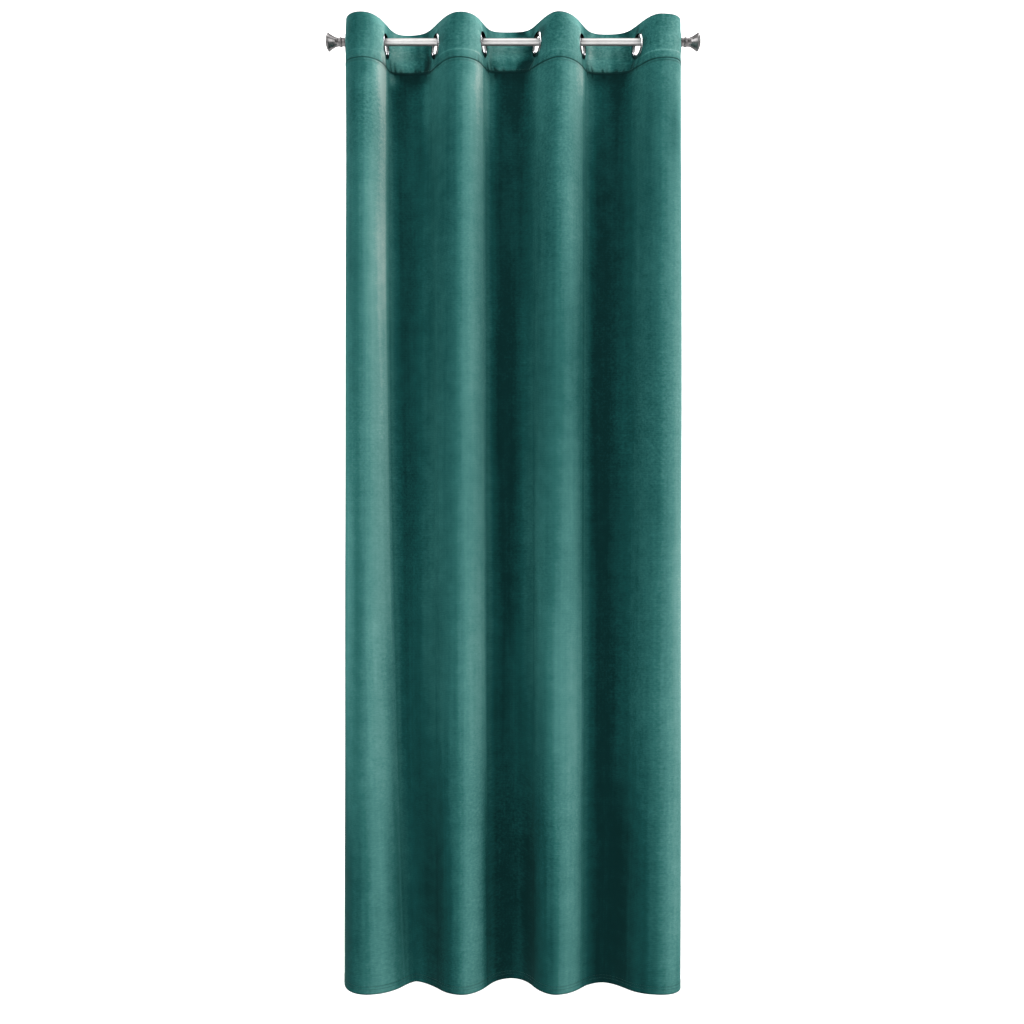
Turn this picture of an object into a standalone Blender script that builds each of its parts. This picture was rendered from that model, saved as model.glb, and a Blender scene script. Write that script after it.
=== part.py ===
"""Blackout eyelet curtain on a rod.

One velvet panel hangs in soft upright folds from eight metal eyelets, which are set in a
doubled header strip. The eyelets ride on a straight rod with a flared finial at each end.

Metres. X runs along the rod, -Y faces the room and Z is up. The origin is on the rod's
axis, midway between the finials.
"""

import math
from collections import namedtuple

import bmesh
import bpy
from mathutils import Matrix, Vector

# Heights
TOP_Z = 0.047
DROP = 2.500
HEM_Z = TOP_Z - DROP
SEAM_Z = -0.0688

# Cloth
PANEL_THICKNESS = 0.0020
HEADER_THICKNESS = 0.0030
HEM_THICKNESS = 0.0030
HEM_HEIGHT = 0.020
FIT_GAP = 0.0003

# Eyelets
RING_INNER_RADIUS = 0.0215
RING_OUTER_RADIUS = 0.0310
RING_HALF_DEPTH = 0.0038
RING_ROUNDING = 0.0016
RING_WALL = 0.0030
RING_STEPS = 20
HOLE_STEPS = 24
CUTTER_LENGTH = 0.020

# Rod and finials
ROD_RADIUS = 0.0095
ROD_HALF_LENGTH = 0.4480
ROD_STEPS = 32
FINIAL_TIP_X = 0.4884
FINIAL_STEPS = 24
SOCKET_RADIUS = ROD_RADIUS + FIT_GAP

# How finely the folds are cut up
BEND_STEPS = 4
FLAT_STEPS = 2
PANEL_ROWS = 14
PANEL_ROW_GROWTH = 1.5

# Edges that turn by more than this are shaded sharp
SHARP_ANGLE = math.radians(40)

# Half the straight stretch of cloth beside an eyelet's centre, at four heights
FLAT_AT_EYELET = 0.0330
FLAT_AT_TOP = 0.0140
FLAT_AT_SEAM = 0.0140
FLAT_AT_HEM = 0.0060

# How fast the folds open out below the seam: depths change early, places late
DEPTH_EASE = 3.0
PLACE_EASE = 2.0

# The straight flanks of the folds, left to right, one beside each eyelet: the eyelet's centre
# on the rod, then the flank's middle and its lean in degrees at the top edge, the eyelet, the
# seam and the hem. The lean is from the depth axis, and its far end to the right is positive.
Flank = namedtuple(
    "Flank",
    "x y top_x top_lean rod_lean seam_x seam_lean hem_x hem_y hem_lean",
)
FLANKS = (
    Flank(-0.4322, 0.000, -0.4328, -4, -3, -0.4350, -6, -0.4388, -0.003, -12),
    Flank(-0.3325, 0.000, -0.3330, 18, 6, -0.3300, 12, -0.2820, -0.018, 40),
    Flank(-0.2013, 0.000, -0.1985, -31, -23, -0.2035, -30, -0.1905, -0.035, -46),
    Flank(-0.0779, -0.006, -0.0795, 22, 14, -0.0755, 22, -0.0670, -0.018, 33),
    Flank(0.0632, -0.006, 0.0655, -28, -21, 0.0545, -36, 0.0545, -0.022, -30),
    Flank(0.1798, 0.000, 0.1792, 27, 18, 0.1840, 25, 0.1735, -0.030, 41),
    Flank(0.3254, 0.000, 0.3280, -28, -20, 0.3180, -32, 0.2890, -0.032, -46),
    Flank(0.4334, 0.000, 0.4340, 5, 4, 0.4356, 5, 0.4312, -0.020, 6),
)

# The bends between them, left to right, from the left side edge to the right one: the bend's
# outermost point at the top edge, the seam and the hem, and how square its corners are at the
# seam and the hem (0.55 is round and 1 is sharp). A bend at -Y is a front fold.
Bend = namedtuple("Bend", "top_x top_y seam_x seam_y hem_x hem_y seam_square hem_square")
BENDS = (
    Bend(-0.4280, 0.053, -0.4270, 0.054, -0.3600, 0.066, 0.60, 0.60),
    Bend(-0.3865, -0.065, -0.3850, -0.065, -0.3718, -0.065, 0.62, 0.60),
    Bend(-0.2810, 0.060, -0.2740, 0.034, -0.2537, 0.006, 0.80, 0.58),
    Bend(-0.1360, -0.064, -0.1370, -0.065, -0.1300, -0.065, 0.69, 0.62),
    Bend(-0.0140, 0.043, -0.0040, 0.021, -0.0040, 0.022, 0.84, 0.66),
    Bend(0.1150, -0.066, 0.1170, -0.065, 0.1080, -0.065, 0.68, 0.60),
    Bend(0.2480, 0.054, 0.2480, 0.031, 0.2330, 0.001, 0.80, 0.62),
    Bend(0.3780, -0.055, 0.3850, -0.063, 0.3800, -0.065, 0.68, 0.60),
    Bend(0.4300, 0.053, 0.4290, 0.054, 0.3600, 0.066, 0.60, 0.60),
)

# A finial's turned outline: distance from its outer tip and radius
FINIAL_OUTLINE = (
    (0.0000, 0.0060),
    (0.0018, 0.0135),
    (0.0045, 0.0195),
    (0.0066, 0.0225),
    (0.0085, 0.0225),
    (0.0098, 0.0210),
    (0.0130, 0.0190),
    (0.0180, 0.0161),
    (0.0240, 0.0128),
    (0.0290, 0.0113),
    (0.0352, 0.0107),
    (0.0368, 0.0116),
    (0.0390, 0.0124),
    (0.0408, 0.0122),
    (0.0420, 0.0112),
    (0.0426, 0.0106),
    (0.0508, 0.0106),
)
FINIAL_LENGTH = FINIAL_OUTLINE[-1][0]

CLOTH_COLOUR = (0.012, 0.115, 0.105, 1.0)
CHROME_COLOUR = (0.72, 0.72, 0.73, 1.0)
SATIN_COLOUR = (0.62, 0.60, 0.58, 1.0)
PEWTER_COLOUR = (0.20, 0.19, 0.19, 1.0)


def mix(a, b, share):
    return a + (b - a) * share


def ring_centre_z(flank):
    """The eyelet hangs on the rod: its faceted bore touches the rod's top, but for the fit gap.

    A leaning bore meets the rod a little further from its own middle."""
    facet_radius = RING_INNER_RADIUS * math.cos(math.pi / RING_STEPS)
    reach = facet_radius - ROD_RADIUS - FIT_GAP
    aside = abs(flank.y) + RING_HALF_DEPTH * abs(math.sin(math.radians(flank.rod_lean)))
    return -math.sqrt(reach * reach - aside * aside)


RING_ZONE_TOP = max(map(ring_centre_z, FLANKS)) + RING_OUTER_RADIUS
RING_ZONE_MIDDLE = ring_centre_z(FLANKS[0])
RING_ZONE_FOOT = min(map(ring_centre_z, FLANKS)) - RING_OUTER_RADIUS


def flank_at(flank, z):
    """(centre x, centre y, lean in radians) of a fold's straight flank at a height.

    It is a true plane over the eyelets' zone, so that their flanges lie flat on it."""
    if z > RING_ZONE_TOP:
        up = (z - RING_ZONE_TOP) / (TOP_Z - RING_ZONE_TOP)
        x = mix(flank.x, flank.top_x, up)
        lean = mix(flank.rod_lean, flank.top_lean, up)
    elif z >= RING_ZONE_FOOT:
        x = flank.x
        lean = flank.rod_lean
    elif z > SEAM_Z:
        down = (RING_ZONE_FOOT - z) / (RING_ZONE_FOOT - SEAM_Z)
        x = mix(flank.x, flank.seam_x, down)
        lean = mix(flank.rod_lean, flank.seam_lean, down)
    else:
        x = mix(flank.seam_x, flank.hem_x, place_share(z))
        lean = mix(flank.seam_lean, flank.hem_lean, depth_share(z))
    y = mix(flank.y, flank.hem_y, depth_share(z))
    return x, y, math.radians(lean)


def below_seam(z):
    return max(0.0, (SEAM_Z - z) / (SEAM_Z - HEM_Z))


def depth_share(z):
    return (1 - math.exp(-DEPTH_EASE * below_seam(z))) / (1 - math.exp(-DEPTH_EASE))


def place_share(z):
    return below_seam(z) ** PLACE_EASE


def flat_half_length(z):
    """The straight stretch is longest at the eyelets' middle and shortens above and below."""
    if z > RING_ZONE_MIDDLE:
        up = (z - RING_ZONE_MIDDLE) / (TOP_Z - RING_ZONE_MIDDLE)
        return mix(FLAT_AT_EYELET, FLAT_AT_TOP, up)
    if z > SEAM_Z:
        down = (RING_ZONE_MIDDLE - z) / (RING_ZONE_MIDDLE - SEAM_Z)
        return mix(FLAT_AT_EYELET, FLAT_AT_SEAM, down)
    return mix(FLAT_AT_SEAM, FLAT_AT_HEM, depth_share(z))


def bend_at(bend, z):
    """(outermost point, squareness) of a bend at a height."""
    if z > SEAM_Z:
        up = (z - SEAM_Z) / (TOP_Z - SEAM_Z)
        point = Vector((mix(bend.seam_x, bend.top_x, up), mix(bend.seam_y, bend.top_y, up)))
        return point, bend.seam_square
    x = mix(bend.seam_x, bend.hem_x, place_share(z))
    y = mix(bend.seam_y, bend.hem_y, depth_share(z))
    return Vector((x, y)), mix(bend.seam_square, bend.hem_square, depth_share(z))


def quarter(flat_end, along, outermost, square):
    """Points of the quarter turn from a flank's end to a bend's outermost point."""
    reach = (outermost.y - flat_end.y) / along.y
    corner = Vector((flat_end.x + along.x * reach, outermost.y))
    near = flat_end.lerp(corner, square)
    far = outermost.lerp(corner, square)
    points = []
    for step in range(1, BEND_STEPS + 1):
        t = step / BEND_STEPS
        s = 1 - t
        points.append(
            flat_end * s**3 + near * (3 * s * s * t) + far * (3 * s * t * t) + outermost * t**3
        )
    return points


def section(z):
    """The cloth's middle line at a height, seen from above, from its left edge to its right."""
    line = []
    for index, flank in enumerate(FLANKS):
        x, y, lean = flank_at(flank, z)
        backwards = 1 if index % 2 else -1
        along = Vector((math.sin(lean), math.cos(lean))) * backwards
        centre = Vector((x, y))
        half = flat_half_length(z)
        start = centre - along * half
        end = centre + along * half
        before, before_square = bend_at(BENDS[index], z)
        after, after_square = bend_at(BENDS[index + 1], z)
        arriving = quarter(start, -along, before, before_square)[::-1]
        line += arriving if index == 0 else arriving[1:]
        line += [start.lerp(end, step / FLAT_STEPS) for step in range(FLAT_STEPS + 1)]
        line += quarter(end, along, after, after_square)
    return line


def sideways(line):
    """The unit normals of a plan line, towards the back."""
    normals = []
    for index in range(len(line)):
        ahead = line[min(index + 1, len(line) - 1)]
        behind = line[max(index - 1, 0)]
        run = (ahead - behind).normalized()
        normals.append(Vector((-run.y, run.x)))
    return normals


def new_object(name, mesh, colour, roughness, metallic):
    material = bpy.data.materials.new(name)
    material.use_nodes = True
    shader = material.node_tree.nodes["Principled BSDF"]
    shader.inputs["Base Color"].default_value = colour
    shader.inputs["Roughness"].default_value = roughness
    shader.inputs["Metallic"].default_value = metallic
    mesh.materials.append(material)
    piece = bpy.data.objects.new(name, mesh)
    bpy.context.scene.collection.objects.link(piece)
    return piece


def mesh_from(build, name):
    """A mesh from a bmesh, with its faces turned outward and shaded smooth."""
    bmesh.ops.recalc_face_normals(build, faces=build.faces)
    mesh = bpy.data.meshes.new(name)
    build.to_mesh(mesh)
    build.free()
    mesh.shade_smooth()
    mesh.set_sharp_from_angle(angle=SHARP_ANGLE)
    return mesh


def cloth_mesh(name, heights, thickness_at):
    """A closed sheet of cloth through the sections at the given heights, top first."""
    build = bmesh.new()
    front = []
    back = []
    for z in heights:
        line = section(z)
        half = thickness_at(z) / 2
        front_row = []
        back_row = []
        for point, normal in zip(line, sideways(line)):
            towards = point - normal * half
            away = point + normal * half
            front_row.append(build.verts.new((towards.x, towards.y, z)))
            back_row.append(build.verts.new((away.x, away.y, z)))
        front.append(front_row)
        back.append(back_row)
    last = len(front[0]) - 1
    for row in range(len(heights) - 1):
        for column in range(last):
            for side in (front, back):
                build.faces.new(
                    (
                        side[row][column],
                        side[row][column + 1],
                        side[row + 1][column + 1],
                        side[row + 1][column],
                    )
                )
        for column in (0, last):
            build.faces.new(
                (
                    front[row][column],
                    front[row + 1][column],
                    back[row + 1][column],
                    back[row][column],
                )
            )
    for row in (0, len(heights) - 1):
        for column in range(last):
            build.faces.new(
                (
                    front[row][column],
                    front[row][column + 1],
                    back[row][column + 1],
                    back[row][column],
                )
            )
    return mesh_from(build, name)


def header_heights():
    """Rows of the header strip: its edges, and the top, middle and foot of the eyelets."""
    return (
        TOP_Z,
        mix(TOP_Z, RING_ZONE_TOP, 0.5),
        RING_ZONE_TOP,
        RING_ZONE_MIDDLE,
        RING_ZONE_FOOT,
        SEAM_Z,
    )


def panel_heights():
    """Rows of the panel, closest together below the seam, and one at the hem's stitching."""
    start = SEAM_Z - FIT_GAP
    stitching = HEM_Z + HEM_HEIGHT
    rows = []
    for row in range(PANEL_ROWS):
        share = (row / (PANEL_ROWS - 1)) ** PANEL_ROW_GROWTH
        rows.append(mix(start, stitching, share))
    return rows + [HEM_Z]


def panel_thickness(z):
    return HEM_THICKNESS if z < HEM_Z + HEM_HEIGHT / 2 else PANEL_THICKNESS


def flank_frame(flank):
    """Places an eyelet made flat about +Z: its axis turns to the flank's own normal."""
    lean = math.radians(flank.rod_lean)
    normal = Vector((math.cos(lean), -math.sin(lean), 0.0))
    turn = Vector((0.0, 0.0, 1.0)).rotation_difference(normal).to_matrix().to_4x4()
    place = Vector((flank.x, flank.y, ring_centre_z(flank)))
    return Matrix.Translation(place) @ turn


def turned_rings(outline, steps):
    """A bmesh, and in it one ring of corners about Z for each (distance along +Z, radius)."""
    build = bmesh.new()
    rings = []
    for along, radius in outline:
        rings.append(
            [
                build.verts.new(
                    (
                        radius * math.cos(2 * math.pi * step / steps),
                        radius * math.sin(2 * math.pi * step / steps),
                        along,
                    )
                )
                for step in range(steps)
            ]
        )
    return build, rings


def join_rings(build, first, second):
    steps = len(first)
    for step in range(steps):
        after = (step + 1) % steps
        build.faces.new((first[step], first[after], second[after], second[step]))


def make_header():
    mesh = cloth_mesh("header_strip", header_heights(), lambda z: HEADER_THICKNESS)
    header = new_object("header_strip", mesh, CLOTH_COLOUR, 0.85, 0.0)
    hole_radius = RING_INNER_RADIUS + RING_WALL
    for number, flank in enumerate(FLANKS, 1):
        build = bmesh.new()
        bmesh.ops.create_cone(
            build,
            cap_ends=True,
            segments=HOLE_STEPS,
            radius1=hole_radius,
            radius2=hole_radius,
            depth=CUTTER_LENGTH,
        )
        cutter_mesh = mesh_from(build, f"hole_cutter_{number}")
        cutter = bpy.data.objects.new(f"hole_cutter_{number}", cutter_mesh)
        bpy.context.scene.collection.objects.link(cutter)
        cutter.matrix_world = flank_frame(flank)
        cutter.hide_render = True
        cutter.display_type = "WIRE"
        cut = header.modifiers.new(f"hole_{number}", "BOOLEAN")
        cut.operation = "DIFFERENCE"
        cut.solver = "EXACT"
        cut.object = cutter
    return header


def ring_outline():
    """An eyelet's outline, (along its axis, radius): a wall with a rounded flange each side of
    the cloth, and a groove that holds the header strip's hole edge."""
    groove = HEADER_THICKNESS / 2 + FIT_GAP
    floor = RING_INNER_RADIUS + RING_WALL - FIT_GAP
    half = (
        (groove, floor),
        (groove, RING_OUTER_RADIUS),
        (groove + RING_ROUNDING / 2, RING_OUTER_RADIUS),
        (RING_HALF_DEPTH, RING_OUTER_RADIUS - 2 * RING_ROUNDING),
        (RING_HALF_DEPTH, RING_INNER_RADIUS + RING_ROUNDING),
        (RING_HALF_DEPTH - RING_ROUNDING, RING_INNER_RADIUS),
    )
    mirrored = tuple((-along, radius) for along, radius in reversed(half))
    return half + mirrored


def make_eyelet(number, flank):
    build, rings = turned_rings(ring_outline(), RING_STEPS)
    for index in range(len(rings)):
        join_rings(build, rings[index], rings[(index + 1) % len(rings)])
    name = f"eyelet_{number}"
    piece = new_object(name, mesh_from(build, name), CHROME_COLOUR, 0.12, 1.0)
    piece.matrix_world = flank_frame(flank)
    return piece


def make_rod():
    build = bmesh.new()
    bmesh.ops.create_cone(
        build,
        cap_ends=True,
        segments=ROD_STEPS,
        radius1=ROD_RADIUS,
        radius2=ROD_RADIUS,
        depth=2 * ROD_HALF_LENGTH,
    )
    piece = new_object("rod", mesh_from(build, "rod"), SATIN_COLOUR, 0.35, 1.0)
    piece.rotation_euler = (0.0, math.pi / 2, 0.0)
    return piece


def make_finial(name, side):
    """A turned trumpet with a domed end, a bead and a collar that caps the rod's end."""
    socket_depth = ROD_HALF_LENGTH + FIT_GAP - (FINIAL_TIP_X - FINIAL_LENGTH)
    outline = FINIAL_OUTLINE + (
        (FINIAL_LENGTH, SOCKET_RADIUS),
        (FINIAL_LENGTH - socket_depth, SOCKET_RADIUS),
    )
    build, rings = turned_rings(outline, FINIAL_STEPS)
    for first, second in zip(rings, rings[1:]):
        join_rings(build, first, second)
    build.faces.new(rings[0])
    build.faces.new(rings[-1])
    piece = new_object(name, mesh_from(build, name), PEWTER_COLOUR, 0.25, 1.0)
    piece.rotation_euler = (0.0, -side * math.pi / 2, 0.0)
    piece.location = (side * FINIAL_TIP_X, 0.0, 0.0)
    return piece


def main():
    for old in list(bpy.data.objects):
        bpy.data.objects.remove(old, do_unlink=True)
    panel_mesh = cloth_mesh("curtain_panel", panel_heights(), panel_thickness)
    new_object("curtain_panel", panel_mesh, CLOTH_COLOUR, 0.85, 0.0)
    make_header()
    for number, flank in enumerate(FLANKS, 1):
        make_eyelet(number, flank)
    make_rod()
    make_finial("finial_left", -1)
    make_finial("finial_right", 1)


main()
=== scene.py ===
"""Looks of the blackout eyelet curtain: velvet panel and header strip, eyelets, rod, finials.

Metres. X runs along the rod, -Y faces the room and Z is up, as in the CAD model.
"""

import math
from bisect import bisect_left
from collections import namedtuple

import bmesh
import bpy
from mathutils import Matrix, Vector, noise


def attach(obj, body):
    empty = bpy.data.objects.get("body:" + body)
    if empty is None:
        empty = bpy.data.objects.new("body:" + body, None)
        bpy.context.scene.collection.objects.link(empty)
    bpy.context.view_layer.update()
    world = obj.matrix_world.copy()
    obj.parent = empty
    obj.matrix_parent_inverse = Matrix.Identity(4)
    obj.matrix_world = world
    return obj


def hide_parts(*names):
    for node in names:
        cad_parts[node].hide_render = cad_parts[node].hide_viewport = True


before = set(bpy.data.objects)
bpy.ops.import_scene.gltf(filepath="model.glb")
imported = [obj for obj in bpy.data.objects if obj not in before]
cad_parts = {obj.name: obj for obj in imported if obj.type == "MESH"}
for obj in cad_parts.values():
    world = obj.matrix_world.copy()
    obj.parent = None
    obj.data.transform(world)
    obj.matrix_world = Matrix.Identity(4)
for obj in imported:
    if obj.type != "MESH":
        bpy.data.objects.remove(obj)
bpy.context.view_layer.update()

# Heights, thicknesses and round parts, as in the CAD model
TOP_Z = 0.047
DROP = 2.500
HEM_Z = TOP_Z - DROP
SEAM_Z = -0.0688
PANEL_THICKNESS = 0.0020
HEADER_THICKNESS = 0.0030
HEM_THICKNESS = 0.0030
FIT_GAP = 0.0003
RING_INNER_RADIUS = 0.0215
RING_OUTER_RADIUS = 0.0310
RING_HALF_DEPTH = 0.0038
RING_WALL = 0.0030
RING_STEPS = 20
ROD_RADIUS = 0.0095
ROD_HALF_LENGTH = 0.4480
FINIAL_TIP_X = 0.4884

# Half the straight stretch of cloth beside an eyelet's centre, at four heights
FLAT_AT_EYELET = 0.0330
FLAT_AT_TOP = 0.0140
FLAT_AT_SEAM = 0.0140
FLAT_AT_HEM = 0.0060

# How fast the folds open out below the seam: depths change early, places late
DEPTH_EASE = 3.0
PLACE_EASE = 2.0

# How finely the looks are cut up
Cut = namedtuple("Cut", "bend flat")
HEADER_CUT = Cut(20, 14)
PANEL_CUT = Cut(13, 7)
ROUND_STEPS = 96
EDGE_ROWS = 5

# The folds' straight flanks and the bends between them, as in the CAD model
Flank = namedtuple(
    "Flank",
    "x y top_x top_lean rod_lean seam_x seam_lean hem_x hem_y hem_lean",
)
FLANKS = (
    Flank(-0.4322, 0.000, -0.4328, -4, -3, -0.4350, -6, -0.4388, -0.003, -12),
    Flank(-0.3325, 0.000, -0.3330, 18, 6, -0.3300, 12, -0.2820, -0.018, 40),
    Flank(-0.2013, 0.000, -0.1985, -31, -23, -0.2035, -30, -0.1905, -0.035, -46),
    Flank(-0.0779, -0.006, -0.0795, 22, 14, -0.0755, 22, -0.0670, -0.018, 33),
    Flank(0.0632, -0.006, 0.0655, -28, -21, 0.0545, -36, 0.0545, -0.022, -30),
    Flank(0.1798, 0.000, 0.1792, 27, 18, 0.1840, 25, 0.1735, -0.030, 41),
    Flank(0.3254, 0.000, 0.3280, -28, -20, 0.3180, -32, 0.2890, -0.032, -46),
    Flank(0.4334, 0.000, 0.4340, 5, 4, 0.4356, 5, 0.4312, -0.020, 6),
)
Bend = namedtuple("Bend", "top_x top_y seam_x seam_y hem_x hem_y seam_square hem_square")
BENDS = (
    Bend(-0.4280, 0.053, -0.4270, 0.054, -0.3600, 0.066, 0.60, 0.60),
    Bend(-0.3865, -0.065, -0.3850, -0.065, -0.3718, -0.065, 0.62, 0.60),
    Bend(-0.2810, 0.060, -0.2740, 0.034, -0.2537, 0.006, 0.80, 0.58),
    Bend(-0.1360, -0.064, -0.1370, -0.065, -0.1300, -0.065, 0.69, 0.62),
    Bend(-0.0140, 0.043, -0.0040, 0.021, -0.0040, 0.022, 0.84, 0.66),
    Bend(0.1150, -0.066, 0.1170, -0.065, 0.1080, -0.065, 0.68, 0.60),
    Bend(0.2480, 0.054, 0.2480, 0.031, 0.2330, 0.001, 0.80, 0.62),
    Bend(0.3780, -0.055, 0.3850, -0.063, 0.3800, -0.065, 0.68, 0.60),
    Bend(0.4300, 0.053, 0.4290, 0.054, 0.3600, 0.066, 0.60, 0.60),
)


def mix(a, b, share):
    return a + (b - a) * share


def clamp(value):
    return max(0.0, min(1.0, value))


def smooth(value):
    """0 to 1 with soft ends."""
    value = clamp(value)
    return value * value * (3 - 2 * value)


def bell(distance, width):
    return math.exp(-((distance / width) ** 2))


def ring_centre_z(flank):
    facet_radius = RING_INNER_RADIUS * math.cos(math.pi / RING_STEPS)
    reach = facet_radius - ROD_RADIUS - FIT_GAP
    aside = abs(flank.y) + RING_HALF_DEPTH * abs(math.sin(math.radians(flank.rod_lean)))
    return -math.sqrt(reach * reach - aside * aside)


RING_ZONE_TOP = max(map(ring_centre_z, FLANKS)) + RING_OUTER_RADIUS
RING_ZONE_MIDDLE = ring_centre_z(FLANKS[0])
RING_ZONE_FOOT = min(map(ring_centre_z, FLANKS)) - RING_OUTER_RADIUS


def flank_at(flank, z):
    """(centre x, centre y, lean in radians) of a fold's straight flank at a height."""
    if z > RING_ZONE_TOP:
        up = (z - RING_ZONE_TOP) / (TOP_Z - RING_ZONE_TOP)
        x = mix(flank.x, flank.top_x, up)
        lean = mix(flank.rod_lean, flank.top_lean, up)
    elif z >= RING_ZONE_FOOT:
        x = flank.x
        lean = flank.rod_lean
    elif z > SEAM_Z:
        down = (RING_ZONE_FOOT - z) / (RING_ZONE_FOOT - SEAM_Z)
        x = mix(flank.x, flank.seam_x, down)
        lean = mix(flank.rod_lean, flank.seam_lean, down)
    else:
        x = mix(flank.seam_x, flank.hem_x, place_share(z))
        lean = mix(flank.seam_lean, flank.hem_lean, depth_share(z))
    y = mix(flank.y, flank.hem_y, depth_share(z))
    return x, y, math.radians(lean)


def below_seam(z):
    return max(0.0, (SEAM_Z - z) / (SEAM_Z - HEM_Z))


def depth_share(z):
    return (1 - math.exp(-DEPTH_EASE * below_seam(z))) / (1 - math.exp(-DEPTH_EASE))


def place_share(z):
    return below_seam(z) ** PLACE_EASE


def flat_half_length(z):
    if z > RING_ZONE_MIDDLE:
        up = (z - RING_ZONE_MIDDLE) / (TOP_Z - RING_ZONE_MIDDLE)
        return mix(FLAT_AT_EYELET, FLAT_AT_TOP, up)
    if z > SEAM_Z:
        down = (RING_ZONE_MIDDLE - z) / (RING_ZONE_MIDDLE - SEAM_Z)
        return mix(FLAT_AT_EYELET, FLAT_AT_SEAM, down)
    return mix(FLAT_AT_SEAM, FLAT_AT_HEM, depth_share(z))


def bend_at(bend, z):
    """(outermost point, squareness) of a bend at a height."""
    if z > SEAM_Z:
        up = (z - SEAM_Z) / (TOP_Z - SEAM_Z)
        point = Vector((mix(bend.seam_x, bend.top_x, up), mix(bend.seam_y, bend.top_y, up)))
        return point, bend.seam_square
    x = mix(bend.seam_x, bend.hem_x, place_share(z))
    y = mix(bend.seam_y, bend.hem_y, depth_share(z))
    return Vector((x, y)), mix(bend.seam_square, bend.hem_square, depth_share(z))


def quarter(flat_end, along, outermost, square, steps):
    """Points of the quarter turn from a flank's end to a bend's outermost point."""
    reach = (outermost.y - flat_end.y) / along.y
    corner = Vector((flat_end.x + along.x * reach, outermost.y))
    near = flat_end.lerp(corner, square)
    far = outermost.lerp(corner, square)
    points = []
    for step in range(1, steps + 1):
        t = step / steps
        s = 1 - t
        points.append(
            flat_end * s**3 + near * (3 * s * s * t) + far * (3 * s * t * t) + outermost * t**3
        )
    return points


def section(z, cut):
    """The cloth's middle line at a height, seen from above, from its left edge to its right."""
    line = []
    for index, flank in enumerate(FLANKS):
        x, y, lean = flank_at(flank, z)
        backwards = 1 if index % 2 else -1
        along = Vector((math.sin(lean), math.cos(lean))) * backwards
        centre = Vector((x, y))
        half = flat_half_length(z)
        start = centre - along * half
        end = centre + along * half
        before, before_square = bend_at(BENDS[index], z)
        after, after_square = bend_at(BENDS[index + 1], z)
        arriving = quarter(start, -along, before, before_square, cut.bend)[::-1]
        line += arriving if index == 0 else arriving[1:]
        line += [start.lerp(end, step / cut.flat) for step in range(cut.flat + 1)]
        line += quarter(end, along, after, after_square, cut.bend)
    return line


def turns(cut):
    """Where each point of a section lies among the folds: 0, 1, 2 ... at the bends' outermost
    points, and 0.5, 1.5 ... at the flanks' middles. Odd numbers are the front folds."""
    places = []
    edge = 0.34
    flat = 1 - 2 * edge
    for index in range(len(FLANKS)):
        first = 0 if index == 0 else 1
        places += [index + edge * step / cut.bend for step in range(first, cut.bend)]
        places += [index + edge + flat * step / cut.flat for step in range(cut.flat + 1)]
        places += [index + 1 - edge * (1 - step / cut.bend) for step in range(1, cut.bend + 1)]
    return places


def sideways(line):
    """The unit normals of a plan line, towards the back."""
    normals = []
    for index in range(len(line)):
        ahead = line[min(index + 1, len(line) - 1)]
        behind = line[max(index - 1, 0)]
        run = (ahead - behind).normalized()
        normals.append(Vector((-run.y, run.x)))
    return normals


def run_lengths(line):
    """The distance along a plan line from its left edge to each point."""
    lengths = [0.0]
    for before, after in zip(line, line[1:]):
        lengths.append(lengths[-1] + (after - before).length)
    return lengths


# Velvet's tone around one fold, from 0, dark, to 1, pale, at five heights. The place is 0 at
# the back of a trough, 0.25 on the flank that faces left, 0.5 on the front fold's top and 0.75
# on the flank that faces right. The tones are the lie of the pile together with painted light and
# shade: the shoulder right of the fold's top is palest, pressed pile with a painted highlight, and
# the troughs are painted dark as shade, though paler in the header.
Tone = namedtuple("Tone", "place header seam upper middle hem")
TONES = (
    Tone(0.00, 0.40, 0.04, 0.06, 0.06, 0.12),
    Tone(0.05, 0.30, 0.03, 0.07, 0.08, 0.09),
    Tone(0.11, 0.12, 0.12, 0.14, 0.15, 0.02),
    Tone(0.20, 0.22, 0.22, 0.21, 0.22, 0.01),
    Tone(0.32, 0.24, 0.28, 0.25, 0.25, 0.06),
    Tone(0.40, 0.25, 0.27, 0.26, 0.27, 0.16),
    Tone(0.46, 0.30, 0.33, 0.32, 0.34, 0.30),
    Tone(0.50, 0.40, 0.45, 0.44, 0.45, 0.43),
    Tone(0.54, 0.52, 0.62, 0.56, 0.56, 0.55),
    Tone(0.58, 0.66, 0.78, 0.66, 0.63, 0.59),
    Tone(0.63, 0.76, 0.90, 0.68, 0.66, 0.57),
    Tone(0.67, 0.74, 0.85, 0.66, 0.64, 0.50),
    Tone(0.75, 0.50, 0.62, 0.52, 0.50, 0.42),
    Tone(0.85, 0.46, 0.38, 0.36, 0.34, 0.34),
    Tone(0.91, 0.56, 0.20, 0.20, 0.19, 0.24),
    Tone(0.96, 0.50, 0.06, 0.08, 0.08, 0.17),
    Tone(1.00, 0.40, 0.04, 0.06, 0.06, 0.12),
)
# Tones above this belong to a fold's pale shoulder, its painted highlight
PALE_FROM = 0.35

# Heights at which the panel's tones hold: below the seam they run into each other
UPPER_Z = -0.40
MIDDLE_Z = -1.20
LOWER_Z = -1.70
HEM_TONE_Z = -2.20

# How pale each front fold's shoulder, with its painted highlight, is against the table, at the same
# heights
Glow = namedtuple("Glow", "bend seam upper middle lower hem")
GLOWS = (
    Glow(1, 1.12, 1.30, 1.05, 1.05, 1.00),
    Glow(3, 0.95, 1.00, 0.95, 1.10, 1.00),
    Glow(5, 0.90, 0.90, 0.75, 1.05, 1.05),
    Glow(7, 0.85, 0.95, 1.10, 1.25, 1.25),
)
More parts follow.
